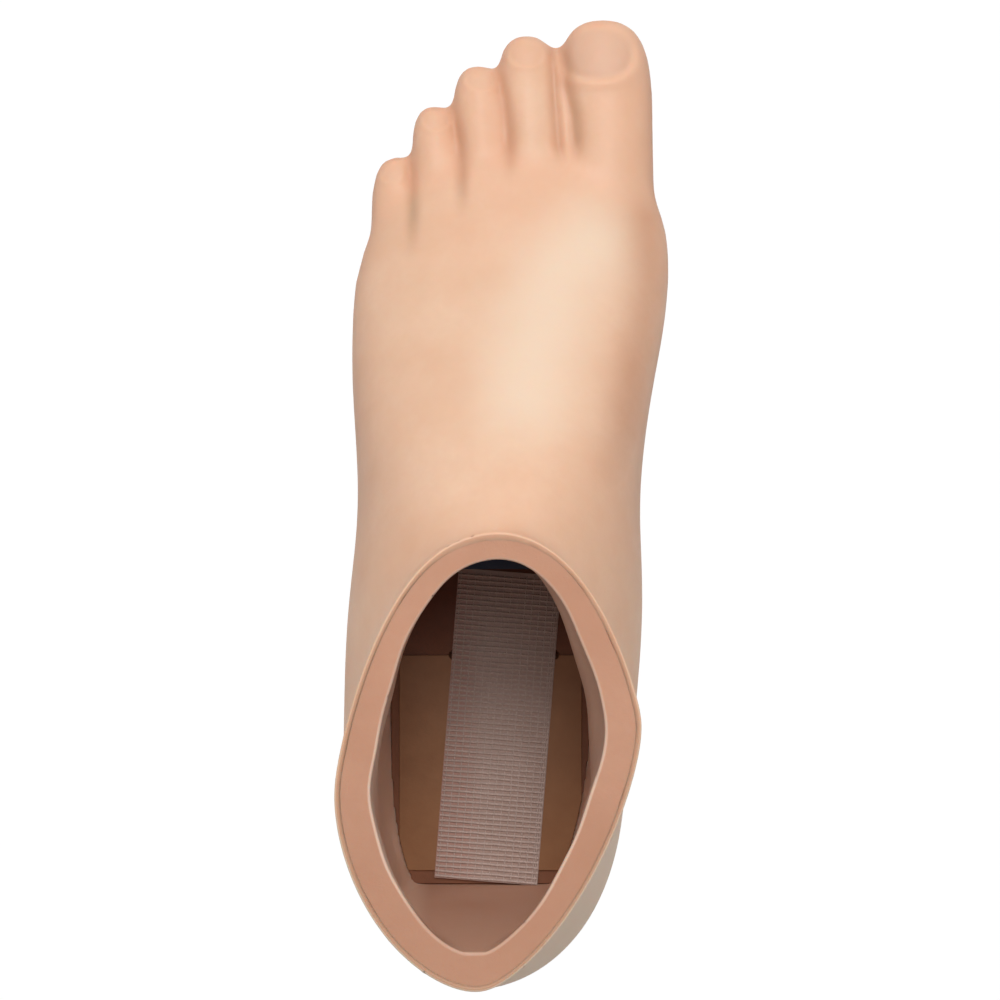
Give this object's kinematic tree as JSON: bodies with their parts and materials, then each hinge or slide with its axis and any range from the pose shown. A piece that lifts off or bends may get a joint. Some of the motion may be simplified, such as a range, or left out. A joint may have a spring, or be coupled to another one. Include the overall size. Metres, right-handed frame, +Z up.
{
  "type": "prosthetic foot shell",
  "caption": "Hollow flesh-coloured left foot shell with moulded toes and a thick flat-cut ankle opening, lined with foam and a woven strip, to push over a prosthetic foot.",
  "frame": {"origin": "on the ground, under the middle of the shell's outline", "axes": "+Y from heel to toes, +X towards the big toe side, +Z up"},
  "size_m": [0.0869, 0.2606, 0.088],
  "materials": {
    "skin": "matt, fine mould grain",
    "wall_foam": "matt, cut face",
    "cushion_foam": "matt",
    "filler_foam": "matt",
    "liner": "matt",
    "webbing": "open plain weave"
  },
  "bodies": {
    "root": {"outer_skin": "skin", "foam_wall": "wall_foam", "sole_cushion": "cushion_foam", "forefoot_filler": "filler_foam", "seat_liner": "liner", "woven_strip": "webbing"}
  },
  "joints": []
}
